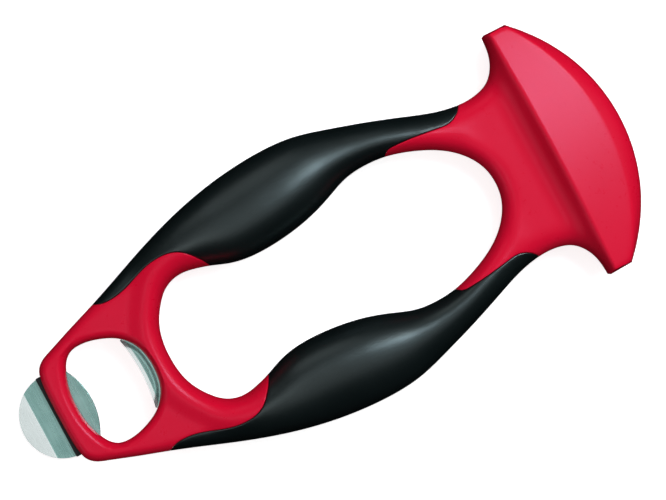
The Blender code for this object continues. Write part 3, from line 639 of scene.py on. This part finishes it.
def lip_outline(gap=0.0):
    """The cap lip in plan: a crescent with its free edge in the hole and its root in the bridge."""
    radius, half_length = LIP_EDGE_RADIUS - gap, LIP_HALF_LENGTH + gap
    centre = LIP_EDGE_STATION - LIP_EDGE_RADIUS
    turn = np.linspace(0, math.asin(half_length / radius), 36)
    edge = np.stack([centre + radius * np.cos(turn), radius * np.sin(turn)], axis=1)
    root_radius = LIP_ROOT_RADIUS + gap
    turn = np.linspace(math.asin((half_length + LIP_FLARE) / root_radius), 0, 40)
    centre = LIP_ROOT_STATION - LIP_ROOT_RADIUS
    root = np.stack([centre + root_radius * np.cos(turn), root_radius * np.sin(turn)], axis=1)
    return closed_over_axis(np.vstack([edge, root]))


def level(height):
    """A height rule for a flat top."""
    return lambda plan: np.full(len(plan), float(height))


# The pockets run down past the parting plane, and the parting block takes off all below its gap.
half = red_half()
groove = block((5, -SEAL_HALF_LENGTH - POCKET_GAP, -3),
               (SEAL_BACK + POCKET_GAP, SEAL_HALF_LENGTH + POCKET_GAP, SEAL_HALF_HEIGHT + POCKET_GAP),
               "seal_groove")
parting = block((-10, -60, -6), (230, 60, PARTING_GAP), "parting")
lip_pocket = slab("lip_pocket", [lip_outline(POCKET_GAP)], level(LIP_THICKNESS / 2 + POCKET_GAP), -3,
                  grid_step=4)
cut(half, blade_blank(POCKET_GAP, BLADE_THICKNESS / 2 + POCKET_GAP), lip_pocket, groove, parting)
rear = copy_of(half, "rear", turned_over=True)
front_holes, rear_holes = [], []
for s, y, bore, seat, length in SCREW_PLACES.values():
    for side in (1, -1):
        front_holes.append(rod(s, side * y, -2, length - seat + HOLE_DEPTH_SPARE, SHANK_RADIUS + SHANK_GAP))
        rear_holes.append(rod(s, side * y, -seat - 1, 1, SHANK_RADIUS + SHANK_GAP))
        rear_holes.append(rod(s, side * y, -20, -seat, bore, 96))
seated(cut(half, *front_holes), "front_shell", red)
seated(cut(rear, *rear_holes), "rear_shell", red)

# ---------------------------------------------------------------- the grips
# Four grip halves of soft black rubber, moulded over the arm cores with a matt, faintly pebbled skin.
# They meet the red in curved seams, and each other on the parting plane.

BLACK_DEEP = (0.002, 0.0045, 0.005)
BLACK_WORN = (0.005, 0.009, 0.0095)


def arm_loop():
    """The black of one arm in plan."""
    tip, head = shifted(seam_tip, SEAM_GAP)[1:-1], shifted(seam_head, -SEAM_GAP)[1:-1]
    return np.vstack([trimmed(outer_arm), head, trimmed(opening_arm)[::-1], tip[::-1]])


def grown(obj, gap):
    """Move a slab's walls, floor and top outwards by the gap."""
    mesh = bmesh.new()
    mesh.from_mesh(obj.data)
    moves = []
    for vertex in mesh.verts:
        walls = [face.normal for face in vertex.link_faces if abs(face.normal.z) < 0.05]
        move = Vector((0, 0, 1 if vertex.co.z > 0 else -1))
        if walls:
            outward = sum(walls, Vector()).normalized()
            move += outward / max(0.5, min(outward.dot(wall) for wall in walls))
        moves.append(move * gap)
    for vertex, move in zip(mesh.verts, moves):
        vertex.co += move
    mesh.to_mesh(obj.data)
    mesh.free()
    return obj


def black_rubber():
    """Matt black rubber with a fine pebbled skin and a trace of dust and handling."""
    finish = Finish("grip_rubber", IOR=1.6, Specular_IOR_Level=1.0, Specular_Tint=(0.84, 1, 1, 1))
    places = finish.places()
    cloud = finish.noise(places, 18, 3)
    pebble = finish.noise(places, 0.5, 2, 0.6)
    colour = finish.blend(cloud, rgb(*BLACK_DEEP), rgb(*BLACK_WORN))
    rough = 0.29 + 0.06 * pebble + 0.06 * cloud
    return finish.show(Base_Color=colour, Roughness=rough, Normal=finish.bump(pebble, 0.02))


rubber = black_rubber()
HANDS = ("left", 1), ("right", -1)
for hand, side in HANDS:
    turned = (lambda path: path) if side > 0 else mirrored
    skin = slab("grip", [turned(arm_loop())], body_height, PARTING_GAP, (turned(seam_tip), turned(seam_head)))
    cut(skin, grown(arm_core(side), CORE_CLEARANCE))
    under = copy_of(skin, "grip_under", turned_over=True)
    seated(skin, f"{hand}_grip_front", rubber)
    seated(under, f"{hand}_grip_rear", rubber)

# ---------------------------------------------------------------- the pry blade
# A stamped stainless blade, ground thin towards its tip across its upper face and held by two screws.
# Its back edge stands in the cap hole as a lip.

BLADE_BEVEL_STATION = 6.3
BLADE_BEVEL_DEGREES = 8.5
BLADE_EDGE = 0.05
STEEL_DARK = (0.28, 0.52, 0.48)
STEEL_LIGHT = (0.48, 0.79, 0.74)
# near white for the ground zones: their ground finish and a painted highlight
STEEL_GROUND_AND_HIGHLIGHT = (0.88, 0.97, 0.96)


def softened(piece, width, segments=2, angle=30):
    """Round the piece's sharp edges over."""
    pick(piece)
    modifier = piece.modifiers.new("edges", "BEVEL")
    modifier.width, modifier.segments, modifier.angle_limit = width, segments, math.radians(angle)
    bpy.ops.object.modifier_apply(modifier=modifier.name)
    return piece


def sliced(piece, place, away):
    """Slice the piece through a place and drop what lies on the far side."""
    pick(piece)
    bpy.ops.object.mode_set(mode="EDIT")
    bpy.ops.mesh.select_all(action="SELECT")
    bpy.ops.mesh.bisect(plane_co=place, plane_no=away, use_fill=True, clear_outer=True)
    bpy.ops.object.mode_set(mode="OBJECT")
    return piece


def brushed_steel(name, ground):
    """Stainless sheet with grinding lines across the tool. Its ground zone is more satin, and painted near
    white: partly its ground finish, partly a painted highlight.
    """
    finish = Finish(name, Metallic=0.75)
    zone = ground(finish)
    lines = finish.noise(finish.places((1, 0.025, 1)), 0.28, 4, 0.65)
    bands = finish.noise(finish.places((1, 0.05, 1)), 1.2, 2)
    cloud = finish.noise(finish.places(), 7, 2)
    shade = ((bands - 0.5) * 1.3 + (cloud - 0.5) * 0.9 + 0.5).clipped()
    colour = finish.blend(shade, rgb(*STEEL_DARK), rgb(*STEEL_LIGHT))
    # the ground zone gets the near-white colour: ground finish plus a painted highlight
    colour = finish.blend(zone, colour, rgb(*STEEL_GROUND_AND_HIGHLIGHT))
    rough = 0.2 + 0.1 * lines + 0.06 * cloud - 0.04 * zone
    return finish.show(Base_Color=colour, Roughness=rough, Normal=finish.bump(lines, 0.006))


def blade_grind_and_highlight(finish):
    """The zone in front of the bevel's straight line, painted near white: the ground bevel, and a painted
    highlight where it mirrors the light.
    """
    from_tip = finish.places(centre=(-LENGTH / 2 * MM, 0, 0))
    station = finish.node("ShaderNodeSeparateXYZ", values={"Vector": from_tip})
    return ((BLADE_BEVEL_STATION - station) * 6).clipped()


blade = blade_blank(0, BLADE_THICKNESS / 2)
slope = math.radians(BLADE_BEVEL_DEGREES)
sliced(blade, (BLADE_BEVEL_STATION, 0, BLADE_THICKNESS / 2), (-math.sin(slope), 0, math.cos(slope)))
softened(blade, BLADE_EDGE)
s, y = SCREW_PLACES["tip"][:2]
cut(blade, *[rod(s, side * y, -2, 2, SHANK_RADIUS + SHANK_GAP) for side in (1, -1)])
seated(blade, "pry_blade", brushed_steel("blade_steel", blade_grind_and_highlight), 20)

# ---------------------------------------------------------------- the cap lip
# A crescent of stainless sheet let into the bridge behind the cap hole, with a rolled free edge that
# catches a cap's rim.

LIP_DISH = 0.45  # how far the lip lies below its root
LIP_BEND = 1.9  # width of the bend beside the wall
LIP_ROLL = 1.3  # width of the ground chamfer along the free edge
LIP_CHAMFER = 0.2
LIP_EDGE = 0.03


def lip_top(plan):
    """The lip's upper face: it bends down from the wall and falls away along the free edge."""
    to_edge = np.hypot(plan[:, 0] - (LIP_EDGE_STATION - LIP_EDGE_RADIUS), plan[:, 1]) - LIP_EDGE_RADIUS
    to_wall = distance_to(hole_loop, plan) * inside([hole_loop], plan)
    bend = np.clip(to_wall / LIP_BEND, 0, 1)
    roll = np.clip(1 - to_edge / LIP_ROLL, 0, 1)
    dish = LIP_DISH * (3 * bend**2 - 2 * bend**3)
    return LIP_THICKNESS / 2 - dish - LIP_CHAMFER * roll


def lip_edge_grind_and_highlight(finish):
    """The zone along the free edge's arc, painted near white: the ground chamfer, and a painted highlight along
    the free edge.
    """
    centre = ((LIP_EDGE_STATION - LIP_EDGE_RADIUS - LENGTH / 2) * MM, 0, MID_Z)
    from_centre = finish.places(centre=centre)
    reach = finish.node("ShaderNodeVectorMath", {"operation": "LENGTH"}, {0: from_centre}, output=1)
    return ((LIP_EDGE_RADIUS + LIP_ROLL - reach) * 4).clipped()


lip = slab("lip", [lip_outline()], lip_top, -LIP_THICKNESS / 2, grid_step=0.4)
# the lip's free edge is painted near white: ground chamfer plus a painted highlight
seated(softened(lip, LIP_EDGE, 1), "cap_rest_lip", brushed_steel("lip_steel", lip_edge_grind_and_highlight), 25)

# ---------------------------------------------------------------- the blade's seal, black as a painted shadow
# A black collar of dull rubber, slotted for the blade and pinched between the two halves where the blade leaves
# the body. It is a painted shadow: its black stands for the dark shade in the slot beside the red.

SEAL_EDGE = 0.3
SEAL_SLOT_GAP = 0.05
# the seal's blacks are painted shadow along the blade's slot; the grain varies them
SEAL_SHADOW_DEEP = (0.006, 0.007, 0.007)
SEAL_SHADOW_GRAIN = (0.014, 0.015, 0.016)

seal = block((SEAL_FRONT, -SEAL_HALF_LENGTH, -SEAL_HALF_HEIGHT),
             (SEAL_BACK, SEAL_HALF_LENGTH, SEAL_HALF_HEIGHT), "seal")
softened(seal, SEAL_EDGE, 3)
cut(seal, blade_blank(SEAL_SLOT_GAP, BLADE_THICKNESS / 2 + SEAL_SLOT_GAP))


def seal_painted_shadow():
    """Dull black with a fine grain, painted as the shadow in the blade's slot."""
    finish = Finish("seal_painted_shadow", IOR=1.5)
    places = finish.places()
    grain = finish.noise(places, 0.3, 2)
    colour = finish.blend(grain, rgb(*SEAL_SHADOW_DEEP), rgb(*SEAL_SHADOW_GRAIN))
    return finish.show(Base_Color=colour, Roughness=0.55 + 0.12 * grain, Normal=finish.bump(grain, 0.01))


seated(seal, "blade_seal", seal_painted_shadow())

# ---------------------------------------------------------------- screws and plugs
# Eight bright-plated pan-head screws draw the halves together from behind. Each sits at the bottom of a
# stepped hole, under a red plug pressed in almost flush with the rear surface.

SCREW_HEAD_HEIGHT = 1.1
SCREW_HEAD_EDGE = 0.35
SCREW_SLOT_HALF_WIDTH = 0.35
SCREW_SLOT_DEPTH = 0.4
SCREW_LIFT = 0.1  # between the screw's head and its seat
SCREW_GAP = 0.25  # between the screw's head and its bore
PLUG_FLOOR = {"tip": 3.45, "bridge": 4.0, "neck": 4.6, "head": 9.6}
PLUG_GAP = 0.12
PLUG_RECESS = 0.15  # how far a plug stands below the skin around it
PLUG_EDGE = 0.2
PLATING_DULL = (0.46, 0.46, 0.47)
PLATING_BRIGHT = (0.6, 0.6, 0.61)


def plated_steel():
    """Bright zinc plating with faint turning marks."""
    finish = Finish("plated_steel", Metallic=0.75)
    rings = finish.noise(finish.places(), 0.35, 3)
    colour = finish.blend(rings, rgb(*PLATING_DULL), rgb(*PLATING_BRIGHT))
    return finish.show(Base_Color=colour, Roughness=0.24 + 0.14 * rings, Normal=finish.bump(rings, 0.004))


plated = plated_steel()
for where, (s, y, bore, seat, length) in SCREW_PLACES.items():
    screw = rod(0, 0, -seat - SCREW_HEAD_HEIGHT, -seat - SCREW_LIFT, bore - SCREW_GAP, 64, "screw")
    softened(screw, SCREW_HEAD_EDGE, 4)
    shank = rod(0, 0, -seat - SCREW_HEAD_HEIGHT / 2, length - seat, SHANK_RADIUS, 32, "shank")
    cut(screw, shank, operation="UNION")
    slot_floor = -seat - SCREW_HEAD_HEIGHT + SCREW_SLOT_DEPTH
    cut(screw, block((-3, -SCREW_SLOT_HALF_WIDTH, -seat - 2), (3, SCREW_SLOT_HALF_WIDTH, slot_floor), "slot"))
    turn = np.arange(96) / 96 * 2 * math.pi
    for hand, side in HANDS:
        name = f"{hand}_{where}"
        set_screw = copy_of(screw, name)
        set_screw.data.transform(Matrix.Translation((s, side * y, 0)))
        seated(set_screw, name + "_screw", plated)
        reach = bore - PLUG_GAP
        rim = np.stack([s + reach * np.cos(turn), side * y + reach * np.sin(turn)], axis=1)
        disc = slab("plug", [rim], lambda p: body_height(p) - PLUG_RECESS, PLUG_FLOOR[where], grid_step=0.5)
        softened(disc, PLUG_EDGE, 3, 50)
        seated(copy_of(disc, name, turned_over=True), name + "_plug", red)
        bpy.data.objects.remove(disc)
    bpy.data.objects.remove(screw)

# ---------------------------------------------------------------- floor, light and camera
# A plain pale floor, soft panels round the object, and a long lens straight above. The broad panels bring
# out the colours, and the small ones stand where each main surface mirrors them to the camera.

FLOOR_GREYS = (0.93, 0.93, 0.93), (0.95, 0.95, 0.95)
FLOOR_GLOW = 0.8
ROOM_LIGHT = 0.2

bpy.ops.mesh.primitive_plane_add(size=6)
floor = bpy.context.object
floor.name = "floor"
pale = Finish("pale_floor", Roughness=0.9, Emission_Strength=FLOOR_GLOW)
pale_cloud = pale.noise(pale.places(), 300, 2)
pale_colour = pale.blend(pale_cloud, *(rgb(*grey) for grey in FLOOR_GREYS))
floor.data.materials.append(pale.show(Base_Color=pale_colour, Emission_Color=pale_colour))
floor.visible_glossy = floor.visible_diffuse = False

world = bpy.data.worlds.new("room")
bpy.context.scene.world = world
world.use_nodes = True
background = world.node_tree.nodes["Background"]
background.inputs["Color"].default_value = rgb(1, 1, 1)
background.inputs["Strength"].default_value = ROOM_LIGHT
world.cycles_visibility.glossy = False


def soft_panel(name, tilt, bearing, distance, size, brightness, colour=(1, 1, 1), gloss=True):
    """A square light facing the object, tilted from overhead towards a bearing. Without gloss it is not
    mirrored in any surface, as when its light is polarised."""
    tilt, bearing = math.radians(tilt), math.radians(bearing)
    out = math.sin(tilt)
    place = distance * Vector((out * math.cos(bearing), out * math.sin(bearing), math.cos(tilt)))
    lamp = bpy.data.lights.new(name, "AREA")
    lamp.size, lamp.energy, lamp.color = size, brightness * math.pi * size**2, colour
    light = bpy.data.objects.new(name, lamp)
    light.location, light.rotation_euler = place, place.to_track_quat("Z", "Y").to_euler()
    light.visible_camera, light.visible_glossy = False, gloss
    bpy.context.scene.collection.objects.link(light)


soft_panel("ceiling", 0, 0, 1.15, 1.2, 0.29)  # flat steel mirrors it
soft_panel("wide", 38, 20, 1.8, 1.44, 2.2, gloss=False)
soft_panel("key", 26.4, 15, 0.67, 0.14, 12, (0.86, 1.0, 1.12))  # the head's facet and the grips' crests
soft_panel("slope_card", 40, 20, 0.8, 0.16, 14)  # the ridge round the facet
soft_panel("tip_card", 27, 180, 0.74, 0.26, 0.78)  # the blade's ground bevel
soft_panel("side", 52, 95, 1.0, 0.5, 0.5)  # the flanks of the grips
for end, bearing in (("head", 0), ("tip", 180)):
    soft_panel(end + "_end", 68, bearing, 1.5, 0.9, 0.45)  # steel seen from low down

CAMERA_LENS, CAMERA_SENSOR = 150, 36
CAMERA_TURN = math.radians(28.2)
CAMERA_PLACE = (0.0073, 0.0056, 0.915)
camera = bpy.data.objects.new("camera", bpy.data.cameras.new("camera"))
bpy.context.scene.collection.objects.link(camera)
camera.data.lens, camera.data.sensor_width = CAMERA_LENS, CAMERA_SENSOR
camera.matrix_world = Matrix.Translation(CAMERA_PLACE) @ Matrix.Rotation(-CAMERA_TURN, 4, "Z")
bpy.context.scene.camera = camera
bpy.context.scene.view_settings.view_transform = "Standard"
